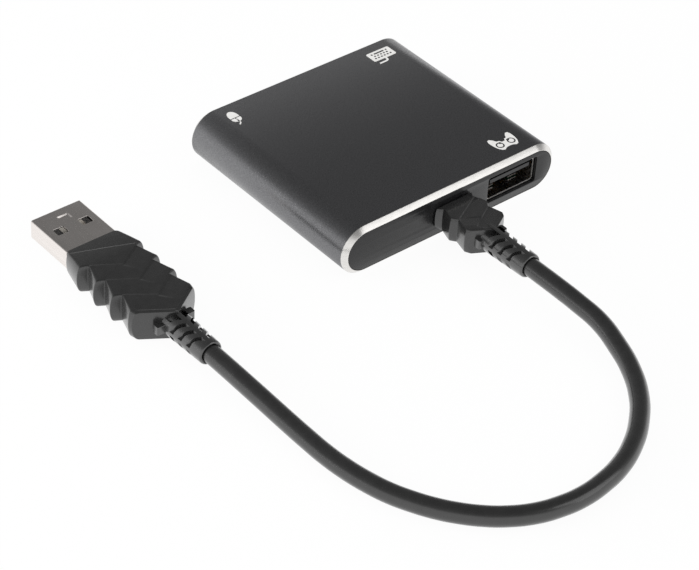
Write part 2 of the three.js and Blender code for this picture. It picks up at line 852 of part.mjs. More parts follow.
function usbPlugInsert() {
  const low = plugFloor + slideGap;
  let insert = box(
    span(usbPlugX, plugWidth - 2 * plugSheet - 2 * slideGap - plugCorner),
    [plugBase + plugBackWall + slideGap, plugTip - plugInsertSetback],
    [low, low + plugInsertHeight],
  );
  for (const place of contactPlaces) {
    const groove = box(
      span(usbPlugX + place, plugContactWidth + 2 * contactGap),
      [plugTip - plugContactSetback - plugContactLength - contactGap, plugTip - plugContactSetback + contactGap],
      [low + plugInsertHeight - plugContactThickness, low + plugInsertHeight + cutOverrun],
    );
    insert = insert.subtract(groove);
  }
  return insert;
}

function usbPlugContact(place) {
  const low = plugFloor + slideGap + plugInsertHeight - plugContactThickness + seatGap;
  return box(
    span(usbPlugX + place, plugContactWidth),
    [plugTip - plugContactSetback - plugContactLength, plugTip - plugContactSetback],
    [low, low + plugContactThickness],
  );
}

// Console plug
const consoleFace = frontY - consoleMouldGap;
const consolePlugTip = consolePortRear - consoleBlockLength - consoleEndGap;
const consoleMould = {
  x: 0,
  z: consoleHeight,
  face: consoleFace,
  height: consoleMouldHeight,
  frontHeight: consoleMouldFrontHeight,
  startHalf: consoleMouldStartHalf,
  startSwell: consoleMouldStartSwell,
  tipHalf: consoleMouldTipHalf,
  tipSwell: consoleMouldTipSwell,
  tipLean: consoleMouldTipLean,
  notchHalf: consoleMouldNotchHalf,
  notchSwell: consoleMouldNotchSwell,
  rearHalf: consoleMouldRearHalf,
  rearSwell: consoleMouldRearSwell,
  rearLean: consoleMouldRearLean,
  firstTip: consoleMouldFirstTip,
  pitch: consoleMouldPitch,
  tips: consoleMouldTips,
  firstNotch: consoleMouldFirstNotch,
  step: consoleMouldStep,
  rearRun: consoleMouldRearRun,
  nose: consoleMouldNose,
  wingHalf: consoleWingHalf,
  slope: consoleMouldSlope,
  pocket: alongY(
    taperedBox(consolePlugWidth, consolePlugHeight, slideGap),
    [consoleFace - consolePlugTail - slideGap, consoleFace + cutOverrun],
  ),
};

function consolePlugShell() {
  const outer = taperedBox(consolePlugWidth, consolePlugHeight, 0);
  const inner = taperedBox(consolePlugWidth, consolePlugHeight, -consoleSheet);
  const run = [consoleFace - consolePlugTail, consolePlugTip];
  return alongY(outer, run).subtract(alongY(inner, [run[0] + consoleSheet, run[1] + cutOverrun]));
}

function consolePlugInsert() {
  const inner = taperedBox(consolePlugWidth, consolePlugHeight, -consoleSheet - slideGap);
  const run = [consoleFace - consolePlugTail + consoleSheet + slideGap, consolePlugTip - openGap];
  const tongueLow = consoleHeight + consoleTongueRise - consoleTongueThickness / 2;
  const slot = box(
    span(0, consolePlugWidth),
    [consolePortFront + consoleTongueSetback - openGap, run[1] + cutOverrun],
    [tongueLow - consoleInsertGap, consoleHeight + consolePlugHeight],
  );
  return alongY(inner, run).subtract(slot);
}

// Cord: straight out of the console plug's relief, down to the surface, round in one loop
// and back to the USB-A plug's relief
const consoleReliefEnd = consoleFace - mouldLength(consoleMould) - reliefLength;
const usbReliefEnd = usbMouldFace - mouldLength(usbMould) - reliefLength;
const cordRest = cordDiameter / 2;
const cordRoute = [
  [0, consoleReliefEnd + reliefRecessDepth - cordEndGap, consoleHeight],
  [0, -52.0, 5.72],
  [0.2, -57.0, 5.45],
  [0.5, -62.5, 4.9],
  [0.6, -68.5, 4.12],
  [-0.8, -75.0, 3.2],
  [-3.0, -81.0, 2.5],
  [-6.6, -86.8, 2.1],
  [-11.9, -92.2, cordRest],
  [-17.5, -96.1, cordRest],
  [-23.5, -98.8, cordRest],
  [-29.2, -100.1, cordRest],
  [-34.6, -100.5, cordRest],
  [-39.6, -99.9, cordRest],
  [-44.4, -98.5, cordRest],
  [-49.2, -95.9, cordRest],
  [-52.7, -93.1, cordRest],
  [-55.7, -89.9, cordRest],
  [-58.2, -86.5, cordRest],
  [-60.4, -82.6, cordRest],
  [-62.2, -78.5, cordRest],
  [-63.5, -74.0, cordRest],
  [-64.4, -69.2, cordRest],
  [-64.9, -64.2, 2.03],
  [-65.1, -58.6, 2.18],
  [-65.25, -52.3, 2.48],
  [-65.35, -47.0, 2.78],
  [-65.45, -41.6, 3.06],
  [usbPlugX, -36.1, 3.25],
  [usbPlugX, usbReliefEnd + reliefRecessDepth - cordEndGap, usbPlugZ],
];

function cord() {
  const path = new THREE.CatmullRomCurve3(cordRoute.map(([x, y, z]) => new THREE.Vector3(x, y, z)));
  const section = new THREE.Shape();
  for (let side = 0; side < cordSides; side += 1) {
    const angle = ((side + 0.5) * 2 * Math.PI) / cordSides;
    const point = [Math.cos(angle) * cordDiameter / 2, Math.sin(angle) * cordDiameter / 2];
    if (side === 0) section.moveTo(...point);
    else section.lineTo(...point);
  }
  section.closePath();
  return toSolid(new THREE.ExtrudeGeometry(section, { steps: cordSteps, extrudePath: path }));
}

// The whole adapter
const frontCuts = [portCutout(portSpacing), consoleCutout()];
const rearCuts = [portCutout(-portSpacing), portCutout(portSpacing)];
add("case_sleeve", caseSleeve(), anodised);
add("front_plate", endPlate(frontY, 1, frontLugShares, frontCuts), blackPlastic);
add("rear_plate", endPlate(rearY, -1, rearLugShares, rearCuts), blackPlastic);
add("main_board", mainBoard(), boardGreen);
addBoardParts();
portPlaces.forEach(addPort);
add("console_port_shell", consolePortShell(), steel);
add("console_port_tongue", consolePortTongue(), blackPlastic);
add("console_plug_shell", consolePlugShell(), steel);
add("console_plug_insert", consolePlugInsert(), blackPlastic);
add("console_plug_overmould", overmould(consoleMould), greyPlastic);
add("console_strain_relief", strainRelief(consoleMould), greyPlastic);
add("cord", cord(), cordSkin);
add("usb_strain_relief", strainRelief(usbMould), greyPlastic);
add("usb_plug_overmould", overmould(usbMould), greyPlastic);
add("usb_plug_shell", usbPlugShell(), steel);
add("usb_plug_insert", usbPlugInsert(), blackPlastic);
contactPlaces.forEach((place, index) => {
  add(`usb_plug_contact_${index + 1}`, usbPlugContact(place), gilt);
});

export default adapter;
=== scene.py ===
# Keyboard and mouse adapter for a game console, with its short detachable cable.
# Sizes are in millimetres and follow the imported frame; mm turns them into metres.
import math

import bmesh
import bpy
from mathutils import Matrix, Vector


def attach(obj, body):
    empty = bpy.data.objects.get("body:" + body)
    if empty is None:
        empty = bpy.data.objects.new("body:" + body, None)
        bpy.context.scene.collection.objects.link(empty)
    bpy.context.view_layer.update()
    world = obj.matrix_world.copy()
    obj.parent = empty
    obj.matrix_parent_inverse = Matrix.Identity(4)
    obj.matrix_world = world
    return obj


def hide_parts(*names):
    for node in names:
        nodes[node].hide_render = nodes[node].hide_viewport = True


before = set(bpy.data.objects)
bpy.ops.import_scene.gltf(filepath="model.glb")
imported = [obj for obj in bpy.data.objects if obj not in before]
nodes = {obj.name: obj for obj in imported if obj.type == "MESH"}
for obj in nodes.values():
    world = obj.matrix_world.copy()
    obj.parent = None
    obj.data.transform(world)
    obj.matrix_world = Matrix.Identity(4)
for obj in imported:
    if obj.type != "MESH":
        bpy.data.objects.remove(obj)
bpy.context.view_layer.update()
mm = 0.001
print("frame loaded with", len(nodes), "nodes")

cameraPlace = {
    "target": (-28.176, -26.881, 0.0),
    "distance": 476.055,
    "azimuth": -42.0,
    "elevation": 38.85,
    "roll": 3.595,
    "lens": 122.35,
}


def placeCamera(place):
    azimuth, elevation, roll = (math.radians(place[key]) for key in ("azimuth", "elevation", "roll"))
    level = math.cos(elevation)
    back = Vector((math.sin(azimuth) * level, -math.cos(azimuth) * level, math.sin(elevation)))
    across = Vector((0, 0, 1)).cross(back).normalized()
    upward = back.cross(across)
    right = across * math.cos(roll) + upward * math.sin(roll)
    up = upward * math.cos(roll) - across * math.sin(roll)
    lens = bpy.data.cameras.new("photoCamera")
    lens.sensor_width = 36
    lens.lens = place["lens"]
    lens.clip_start = 0.01
    lens.clip_end = 30
    camera = bpy.data.objects.new("photoCamera", lens)
    bpy.context.collection.objects.link(camera)
    eye = (Vector(place["target"]) + back * place["distance"]) * mm
    camera.matrix_world = Matrix.Translation(eye) @ Matrix((right, up, back)).transposed().to_4x4()
    bpy.context.scene.camera = camera


placeCamera(cameraPlace)
print("camera placed")


# Finishes. Each one has a colour that clouds into a second one, and a grain for its bump and its roughness.
# Cloud and grain are sizes in millimetres, and relief is the grain's height. A metal keeps the default IOR.
# The real grain, from grit, cutter, rolls and moulds, is mostly under 0.05 mm, which is too fine to show in
# the render, so it is drawn at 0.08 to 0.3 mm.
def srgb(hexColour):
    channels = [int(hexColour[place : place + 2], 16) / 255 for place in (1, 3, 5)]
    return (*[c / 12.92 if c <= 0.04045 else ((c + 0.055) / 1.055) ** 2.4 for c in channels], 1.0)


# Adds a node, or takes the one of that name that its tree starts with. Settings are inputs or properties,
# and links give each input the output, or the list of outputs, that feeds it.
def addNode(tree, kind, settings=None, links=None):
    node = tree.nodes.get(kind) or tree.nodes.new(kind)
    for key, value in (settings or {}).items():
        if key == "stops":
            elements = node.color_ramp.elements
            for index, (position, colour) in enumerate(value):
                stop = elements[index] if index < len(elements) else elements.new(position)
                stop.position = position
                stop.color = colour
        elif isinstance(key, int) or key in node.inputs:
            node.inputs[key].default_value = value
        else:
            setattr(node, key, value)
    for key, sources in (links or {}).items():
        for source in sources if isinstance(sources, list) else [sources]:
            tree.links.new(source, node.inputs[key])
    return node


# Between which noise values the colour and the roughness go from one end to the other
noiseSpread = {"colour": (0.35, 0.65), "gloss": (0.3, 0.7)}


def makeFinish(name, look):
    material = bpy.data.materials.new(name)
    material.use_nodes = True
    tree = material.node_tree
    where = addNode(tree, "ShaderNodeTexCoord")
    stretched = {"Scale": look.get("stretch", (1, 1, 1))}
    stretch = addNode(tree, "ShaderNodeMapping", stretched, {"Vector": where.outputs["Object"]})
    cloud, grain = (
        addNode(
            tree,
            "ShaderNodeTexNoise",
            {"Scale": 1 / (look[layer] * mm), "Detail": detail},
            {"Vector": stretch.outputs["Vector"]},
        )
        for layer, detail in (("cloud", 3), ("grain", 2))
    )
    tones = zip(noiseSpread["colour"], (srgb(look["colour"]), srgb(look["second"])))
    ramp = addNode(tree, "ShaderNodeValToRGB", {"stops": list(tones)}, {"Fac": cloud.outputs["Fac"]})
    spread = {"From Min": noiseSpread["gloss"][0], "From Max": noiseSpread["gloss"][1]}
    spread |= {"To Min": look["rough"][0], "To Max": look["rough"][1]}
    gloss = addNode(tree, "ShaderNodeMapRange", spread, {"Value": grain.outputs["Fac"]})
    height = {"Distance": look["relief"] * mm}
    bump = addNode(tree, "ShaderNodeBump", height, {"Height": grain.outputs["Fac"]})
    surface = {"Metallic": look.get("metal", 0.0), "IOR": look.get("ior", 1.5)}
    surface |= {"Coat Weight": look.get("coat", 0.0), "Coat Roughness": look.get("coatRoughness", 0.1)}
    fed = {"Base Color": ramp.outputs["Color"], "Roughness": gloss.outputs["Result"]}
    addNode(tree, "Principled BSDF", surface, fed | {"Normal": bump.outputs["Normal"]})
    return material


# Aluminium, bead-blasted and anodised dark grey: soft metal reflections with an even fine sparkle.
# The pits are about 0.05 mm across and are drawn at 0.16 mm, so that they show.
blastedAluminium = makeFinish("blastedAluminium", {
    "colour": "#737375", "second": "#868688", "metal": 0.95, "rough": (0.24, 0.36),
    "cloud": 0.25, "grain": 0.16, "relief": 0.006,
})
# The same aluminium bared by a cutter at the rims: bright, with faint lines along the cut.
# Stretch makes them 0.5 mm long and a sixth of that apart.
cutAluminium = makeFinish("cutAluminium", {
    "colour": "#e4e2df", "second": "#eceae7", "metal": 1.0, "rough": (0.22, 0.3),
    "cloud": 2.0, "grain": 0.5, "relief": 0.0005, "stretch": (1, 1, 6),
})
# The inside of the sleeve as extruded and anodised: dull, with faint lines along its length
extrudedAluminium = makeFinish("extrudedAluminium", {
    "colour": "#47474a", "second": "#4d4d50", "metal": 0.8, "rough": (0.45, 0.6),
    "cloud": 1.5, "grain": 0.2, "relief": 0.004, "stretch": (1, 0.1, 1),
})
# White pad-printed ink: flat and a little chalky
printedInk = makeFinish("printedInk", {
    "colour": "#e6e5e2", "second": "#edecea", "rough": (0.45, 0.6),
    "cloud": 0.8, "grain": 0.14, "relief": 0.004,
})
# ABS moulded against a polished tool: near black, with soft clear reflections
polishedAbs = makeFinish("polishedAbs", {
    "colour": "#19191a", "second": "#1e1e1f", "rough": (0.24, 0.3),
    "cloud": 1.5, "grain": 0.16, "relief": 0.002,
})
# Nylon moulded against a plain tool: near black, with no clear reflection
mouldedNylon = makeFinish("mouldedNylon", {
    "colour": "#19191a", "second": "#1f1f20", "rough": (0.4, 0.55),
    "cloud": 1.0, "grain": 0.2, "relief": 0.004,
})
# The large plug's insert, of nylon whose grey is lightened as painted light, so that the shell's windows,
# which lie in shade, show grey
insertNylonPaintedLight = makeFinish("insertNylonPaintedLight", {
    "colour": "#5c5c5d", "second": "#626263", "rough": (0.4, 0.55),
    "cloud": 1.0, "grain": 0.2, "relief": 0.004,
})
# Plasticised PVC moulded over the plugs: dark grey, with a satin skin that brightens where it turns away.
# The tool's texture is about 0.03 mm across and is drawn at 0.12 mm, so that it shows.
mouldedPvc = makeFinish("mouldedPvc", {
    "colour": "#212121", "second": "#252525", "rough": (0.22, 0.3),
    "ior": 1.6, "coat": 0.6, "coatRoughness": 0.2,
    "cloud": 1.2, "grain": 0.12, "relief": 0.003,
})
# The same PVC on the strain reliefs, which show more of its shine
shinyPvc = makeFinish("shinyPvc", {
    "colour": "#212121", "second": "#252525", "rough": (0.22, 0.3),
    "ior": 1.75, "coat": 1.0, "coatRoughness": 0.2,
    "cloud": 1.0, "grain": 0.12, "relief": 0.003,
})
# PVC extruded round the wires: smooth, with one long soft light along the cord
extrudedPvc = makeFinish("extrudedPvc", {
    "colour": "#212121", "second": "#252525", "rough": (0.2, 0.28),
    "ior": 1.6, "coat": 0.6, "coatRoughness": 0.2,
    "cloud": 1.5, "grain": 0.25, "relief": 0.004,
})
# Rolled steel sheet with nickel plating: bright, with faint lines along the roll
rolledSteel = makeFinish("rolledSteel", {
    "colour": "#f0eae6", "second": "#f5efeb", "metal": 1.0, "rough": (0.22, 0.28),
    "cloud": 1.5, "grain": 0.25, "relief": 0.0006, "stretch": (1, 0.08, 1),
})
# Spring steel with tin plating, on the receptacles' shells: greyer than the plug
springSteel = makeFinish("springSteel", {
    "colour": "#b4b1ae", "second": "#c1bebb", "metal": 1.0, "rough": (0.22, 0.34),
    "cloud": 1.5, "grain": 0.3, "relief": 0.002, "stretch": (1, 0.2, 1),
})
# Stamped bronze with gold plating: small warm glints
giltBronze = makeFinish("giltBronze", {
    "colour": "#c79d4c", "second": "#d3ab5c", "metal": 1.0, "rough": (0.2, 0.32),
    "cloud": 0.6, "grain": 0.15, "relief": 0.001, "stretch": (1, 0.2, 1),
})
# Solder resist, printed and baked, under a thin gloss: its green is darkened towards black as painted shade,
# so that the board shows as shade inside the ports
resistPaintedShade = makeFinish("resistPaintedShade", {
    "colour": "#0d2517", "second": "#112e1d", "rough": (0.3, 0.42), "coat": 0.4,
    "cloud": 1.4, "grain": 0.3, "relief": 0.006,
})
# Epoxy moulded round the chips: dull black
mouldedEpoxy = makeFinish("mouldedEpoxy", {
    "colour": "#1b1b1d", "second": "#222224", "rough": (0.5, 0.65),
    "cloud": 0.8, "grain": 0.08, "relief": 0.004,
})
# Fired ceramic: an even tan with no shine
firedCeramic = makeFinish("firedCeramic", {
    "colour": "#a98c66", "second": "#bb9f7a", "rough": (0.45, 0.6),
    "cloud": 0.5, "grain": 0.1, "relief": 0.003,
})
# Drawn and nickel-plated cans and blades: a plain grey metal
nickelPlate = makeFinish("nickelPlate", {
    "colour": "#a9a9a4", "second": "#b7b7b2", "metal": 1.0, "rough": (0.22, 0.34),
    "cloud": 0.8, "grain": 0.15, "relief": 0.002,
})
print("finishes made")


# Cord: out of the small plug's relief, down to the surface, round in one loop and back to the large plug
cordLead = {
    "diameter": 4.0,
    "length": 159.0,
    "roundSteps": 8,
    "bendSteps": 10,
    "route": [
        (0, -48.7, 5.75), (0, -52.0, 5.72), (0.2, -57.0, 5.45), (0.5, -62.5, 4.9), (0.6, -68.5, 4.12),
        (-0.8, -75.0, 3.2), (-3.0, -81.0, 2.5), (-6.6, -86.8, 2.1), (-11.9, -92.2, 2.0), (-17.5, -96.1, 2.0),
        (-23.5, -98.8, 2.0), (-29.2, -100.1, 2.0), (-34.6, -100.5, 2.0), (-39.6, -99.9, 2.0),
        (-44.4, -98.5, 2.0), (-49.2, -95.9, 2.0), (-52.7, -93.1, 2.0), (-55.7, -89.9, 2.0),
        (-58.2, -86.5, 2.0), (-60.4, -82.6, 2.0), (-62.2, -78.5, 2.0), (-63.5, -74.0, 2.0),
        (-64.4, -69.2, 2.0), (-64.9, -64.2, 2.03), (-65.1, -58.6, 2.18), (-65.25, -52.3, 2.48),
        (-65.35, -47.0, 2.78), (-65.45, -41.6, 3.06), (-65.5, -36.1, 3.25), (-65.5, -29.8, 3.3),
    ],
}


def layCord(lead):
    curve = bpy.data.curves.new("cordLead", "CURVE")
    curve.dimensions = "3D"
    curve.bevel_depth = lead["diameter"] / 2 * mm
    curve.bevel_resolution = lead["roundSteps"]
    curve.resolution_u = lead["bendSteps"]
    curve.use_fill_caps = True
    spline = curve.splines.new("BEZIER")
    spline.bezier_points.add(len(lead["route"]) - 1)
    for point, place in zip(spline.bezier_points, lead["route"]):
        point.co = Vector(place) * mm
        point.handle_left_type = point.handle_right_type = "AUTO"
    curve.materials.append(extrudedPvc)
    cord = bpy.data.objects.new("cordLead", curve)
    bpy.context.collection.objects.link(cord)
    return cord


cordPiece = layCord(cordLead)
print("cord laid")


# Shapes that several pieces share. Corners nearer than weld become one, and edges shorter than sliver go.
meshCare = {"weld": 0.002, "sliver": 0.001, "sharp": 35}


def bakePiece(name, points, faces, finishes, facePlaces=None, sharp=meshCare["sharp"]):
    mesh = bpy.data.meshes.new(name)
    mesh.from_pydata([Vector(point) * mm for point in points], [], faces)
    for finish in finishes:
        mesh.materials.append(finish)
    if facePlaces:
        mesh.polygons.foreach_set("material_index", facePlaces)
    tidyMesh(mesh, sharp)
    return linkPiece(name, mesh)


def linkPiece(name, mesh):
    piece = bpy.data.objects.new(name, mesh)
    bpy.context.collection.objects.link(piece)
    return piece


def tidyMesh(mesh, sharp):
    work = bmesh.new()
    work.from_mesh(mesh)
    bmesh.ops.remove_doubles(work, verts=work.verts, dist=meshCare["weld"] * mm)
    bmesh.ops.dissolve_degenerate(work, edges=work.edges, dist=meshCare["sliver"] * mm)
    bmesh.ops.recalc_face_normals(work, faces=work.faces)
    work.to_mesh(mesh)
    work.free()
    mesh.shade_smooth()
    mesh.set_sharp_from_angle(angle=math.radians(sharp))


def loftFaces(rings, perRing, closedRun=False, firstCap=True, lastCap=True):
    faces = []
    for row in range(rings if closedRun else rings - 1):
        low, high = row * perRing, (row + 1) % rings * perRing
        for place in range(perRing):
            after = (place + 1) % perRing
            faces.append((low + place, low + after, high + after, high + place))
    if firstCap and not closedRun:
        faces.append(tuple(range(perRing)))
    if lastCap and not closedRun:
        faces.append(tuple(range((rings - 1) * perRing, rings * perRing)))
    return faces


def addBox(points, faces, low, high):
    base = len(points)
    points += [(x, y, z) for x in (low[0], high[0]) for y in (low[1], high[1]) for z in (low[2], high[2])]
    for corners in ((0, 1, 3, 2), (4, 6, 7, 5), (0, 4, 5, 1), (2, 3, 7, 6), (0, 2, 6, 4), (1, 5, 7, 3)):
        faces.append(tuple(base + corner for corner in corners))


# A ring round a box with rounded corners, as pairs from the middle
def roundedRing(width, height, corner, steps=6):
    ring = []
    for quarter, (sideX, sideZ) in enumerate(((1, 1), (-1, 1), (-1, -1), (1, -1))):
        for step in range(steps + 1):
            angle = math.radians(90 * (quarter + step / steps))
            centre = (sideX * (width / 2 - corner), sideZ * (height / 2 - corner))
            ring.append((centre[0] + corner * math.cos(angle), centre[1] + corner * math.sin(angle)))
    return ring


# A flat outline with holes, given as pairs, made a solid of some thickness with softened edges
def cutSheet(name, outlines, thickness, edge):
    curve = bpy.data.curves.new(name, "CURVE")
    curve.dimensions = "2D"
    curve.fill_mode = "BOTH"
    for outline in outlines:
        spline = curve.splines.new("POLY")
        spline.points.add(len(outline) - 1)
        for point, (a, b) in zip(spline.points, outline):
            point.co = (a * mm, b * mm, 0, 1)
        spline.use_cyclic_u = True
    curve.extrude = (thickness / 2 - edge) * mm
    curve.bevel_depth = edge * mm
    curve.bevel_resolution = 1
    curve.offset = -edge * mm
    flat = linkPiece(name + "Outline", curve)
    bpy.context.view_layer.update()
    mesh = bpy.data.meshes.new_from_object(flat.evaluated_get(bpy.context.evaluated_depsgraph_get()))
    bpy.data.objects.remove(flat)
    mesh.name = name
    return mesh


def settle(piece, sharp=meshCare["sharp"]):
    bpy.context.view_layer.update()
    mesh = bpy.data.meshes.new_from_object(piece.evaluated_get(bpy.context.evaluated_depsgraph_get()))
    piece.modifiers.clear()
    piece.data = mesh
    tidyMesh(mesh, sharp)
    return piece


def soften(piece, soft, sharp):
    bevel = piece.modifiers.new("soften", "BEVEL")
    bevel.width = soft["width"] * mm
    bevel.segments = soft["segments"]
    bevel.limit_method = "ANGLE"
    bevel.angle_limit = math.radians(soft["angle"])
    return settle(piece, sharp)


# Case sleeve: flat lid and floor, full round sides, a bright cut at each end, rails inside.
# The cut meets the skin over a narrow edge.
sleeve = {
    "width": 58.0,
    "height": 11.5,
    "depth": 51.4,
    "wall": 1.1,
    "chamfer": 1.0,
    "edge": 0.05,
    "edgeRun": 0.03,
    "arcSteps": 48,
    "rails": [((23.5, 0.9), (25.95, 1.79)), ((23.5, 3.19), (27.75, 4.09))],
    "railHalf": 23.4,
}


def stadiumRing(inset, steps):
    middle = sleeve["height"] / 2
    radius = middle - inset
    flatHalf = (sleeve["width"] - sleeve["height"]) / 2
    ring = []
    for side, first in ((1, -90), (-1, 90)):
        for step in range(steps + 1):
            angle = math.radians(first + 180 * step / steps)
            ring.append((side * flatHalf + radius * math.cos(angle), middle + radius * math.sin(angle)))
    return ring


def makeSleeve():
    end = sleeve["depth"] / 2
    cut, edge, edgeRun = sleeve["chamfer"], sleeve["edge"], sleeve["edgeRun"]
    run = [
        (cut, -end), (edge, cut - end - edge), (0, cut - end + edgeRun), (0, end - cut - edgeRun),
        (edge, end - cut + edge), (cut, end), (sleeve["wall"], end), (sleeve["wall"], -end),
    ]
    finishPlaces = [1, 1, 0, 1, 1, 1, 2, 1]
    points, facePlaces = [], []
    for (inset, y), place in zip(run, finishPlaces):
        ring = stadiumRing(inset, sleeve["arcSteps"])
        points += [(x, y, z) for x, z in ring]
        facePlaces += [place] * len(ring)
    faces = loftFaces(len(run), len(ring), closedRun=True)
    half = sleeve["railHalf"]
    for (x0, z0), (x1, z1) in sleeve["rails"]:
        for left, right in ((x0, x1), (-x1, -x0)):
            addBox(points, faces, (left, -half, z0), (right, half, z1))
            facePlaces += [2] * 6
    finishes = [blastedAluminium, cutAluminium, extrudedAluminium]
    return bakePiece("caseSleeve", points, faces, finishes, facePlaces)


sleevePiece = makeSleeve()
print("case sleeve made")

# End plates: gloss black, each with its cut-outs
endPlate = {
    "inset": 1.2,
    "thickness": 2.0,
    "edge": 0.1,
    "portCut": (13.7, 6.32, 0.5),
    "portHeight": 6.0,
    "portPlaces": {"front": [16.65], "rear": [-16.65, 16.65]},
    "consoleCut": [(-3.35, 4.175), (3.35, 4.175), (4.1, 4.875), (4.1, 7.325), (-4.1, 7.325), (-4.1, 4.875)],
    "lugs": {"front": [-7.6, -20.0], "rear": [0]},
    "lugSize": (3.0, 4.8, 1.2),
    "lugFloor": 3.19,
    "lugSeat": 0.5,
}


def makePlate(name, end, inward):
    outlines = [stadiumRing(endPlate["inset"], sleeve["arcSteps"])]
    width, height, corner = endPlate["portCut"]
    for x in endPlate["portPlaces"][end]:
        ring = [(x + a, endPlate["portHeight"] + b) for a, b in roundedRing(width, height, corner)]
        outlines.append(ring[::-1])
    if end == "front":
        outlines.append(endPlate["consoleCut"][::-1])
    mesh = cutSheet(name, outlines, endPlate["thickness"], endPlate["edge"])
    middle = -inward * (sleeve["depth"] - endPlate["thickness"]) / 2
    mesh.transform(Matrix(((1, 0, 0, 0), (0, 0, -1, middle * mm), (0, 1, 0, 0), (0, 0, 0, 1))))
    mesh.materials.append(polishedAbs)
    work = bmesh.new()
    work.from_mesh(mesh)
    points, faces = [], []
    wide, deep, tall = endPlate["lugSize"]
    for x in endPlate["lugs"][end]:
        y0, y1 = sorted(middle + inward * far for far in (endPlate["lugSeat"], endPlate["lugSeat"] + deep))
        floor = endPlate["lugFloor"]
        addBox(points, faces, (x - wide / 2, y0, floor), (x + wide / 2, y1, floor + tall))
    corners = [work.verts.new(Vector(point) * mm) for point in points]
    for face in faces:
        work.faces.new([corners[corner] for corner in face])
    work.to_mesh(mesh)
    work.free()
    tidyMesh(mesh, meshCare["sharp"])
    return linkPiece(name, mesh)


frontPlatePiece = makePlate("frontPlate", "front", 1)
rearPlatePiece = makePlate("rearPlate", "rear", -1)
print("end plates made")

# Legends on the lid, one beside each port: a mouse, a keyboard and a game controller.
# The controller has two thumb sticks, each a ring with a small dot on its edge.
legends = {
    "height": 11.5,
    "thickness": 0.03,
    "mouse": (-21.38, 19.9),
    "keyboard": (19.2, 20.1),
    "controller": (19.0, -19.9),
    "mouseHalf": 1.18,
    "archSteps": 24,
    "keyPitch": 0.84,
    "keySize": (0.52, 0.46),
    "keyCorner": 0.1,
    "stickAt": (1.55, -0.55),
    "stickRadii": {"outside": 0.97, "inside": 0.63},
    "dotAway": 0.76,
    "dotRadius": 0.34,
    "dotTurn": 37,
}


def strip(line, width):
    left, right = [], []
    for place, (x, y) in enumerate(line):
        before = line[max(place - 1, 0)]
        after = line[min(place + 1, len(line) - 1)]
        along = Vector((after[0] - before[0], after[1] - before[1])).normalized() * width / 2
        left.append((x - along.y, y + along.x))
        right.append((x + along.y, y - along.x))
    return left + right[::-1]


def panel(centreX, centreY, width, height, corner):
    return [(centreX + a, centreY + b) for a, b in roundedRing(width, height, corner, 3)]


def mouseLegend():
    half = legends["mouseHalf"]
    steps = legends["archSteps"]
    turns = [math.radians(180 * step / steps) for step in range(steps + 1)]
    back = [(half * math.cos(turn), 0.55 + 1.75 * math.sin(turn)) for turn in turns]
    back += [(-half, 0.0), (half, 0.0)]
    left = [(-half, -0.25), (-1.14, -0.8), (-0.87, -1.3), (-0.2, -1.62), (-0.2, -0.25)]
    right = [(-x, y) for x, y in left][::-1]
    wheel = panel(0, -0.62, 0.16, 0.5, 0.07)
    lead = strip([(0.0, -1.75), (-0.05, -2.05), (-0.3, -2.35), (-0.62, -2.55)], 0.3)
    return [back, left, right, wheel, lead]


def keyboardLegend():
    middle, (wide, tall), corner = 0.25, legends["keySize"], legends["keyCorner"]
    body = panel(middle, 0.3, 6.2, 3.3, 0.35)
    keys = [panel(middle + x, 1.15, width, tall, corner) for x, width in ((0, 2.8), (-2, 0.5), (2, 0.5))]
    for count, y in ((5, 0.35), (6, -0.45)):
        for index in range(count):
            x = middle + (index - (count - 1) / 2) * legends["keyPitch"]
            keys.append(panel(x, y, wide, tall, corner))
    lead = strip([(0.2, -1.36), (0.2, -1.9), (0.0, -2.2), (-0.4, -2.35), (-2.3, -2.4)], 0.45)
    return [body] + [key[::-1] for key in keys] + [lead]


# The ring's outside or inside edge, which gives way to the dot
def stickEdge(side, edge):
    radius, away = legends["stickRadii"][edge], legends["dotAway"]
    outward, limit = (1, max) if edge == "outside" else (-1, min)
    dotWay = math.radians(90 + side * legends["dotTurn"])
    points = []
    for step in range(60):
        turn = math.radians(step * 6)
        off = turn - dotWay
        reach = radius
        chord = legends["dotRadius"] ** 2 - (away * math.sin(off)) ** 2
        if chord > 0 and math.cos(off) > 0:
            reach = limit(radius, away * math.cos(off) + outward * math.sqrt(chord))
        x, y = legends["stickAt"]
        points.append((side * x + reach * math.cos(turn), y + reach * math.sin(turn)))
    return points


def controllerLegend():
    half = [
        (0.0, 0.15), (0.45, 0.2), (0.75, 0.75), (1.35, 0.85), (1.75, 1.65), (2.3, 2.2), (2.85, 2.1),
        (3.1, 1.3), (3.05, 0.0), (2.75, -1.2), (2.2, -2.1), (1.6, -2.3), (1.0, -1.95), (0.5, -1.8),
        (0.0, -1.8),
    ]
    shapes = [half[::-1] + [(-x, y) for x, y in half[1:-1]]]
    for side in (-1, 1):
        shapes += [stickEdge(side, "outside")[::-1], stickEdge(side, "inside")]
    return shapes


def printLegend(name, shapes, place):
    mesh = cutSheet(name, shapes, legends["thickness"], 0.0)
    rise = legends["height"] + legends["thickness"] / 2
    mesh.transform(Matrix.Translation(Vector((place[0], place[1], rise)) * mm))
    mesh.materials.append(printedInk)
    tidyMesh(mesh, meshCare["sharp"])
    return linkPiece(name, mesh)


legendPieces = [
    printLegend("mouseLegend", mouseLegend(), legends["mouse"]),
    printLegend("keyboardLegend", keyboardLegend(), legends["keyboard"]),
    printLegend("controllerLegend", controllerLegend(), legends["controller"]),
]
print("legends printed")

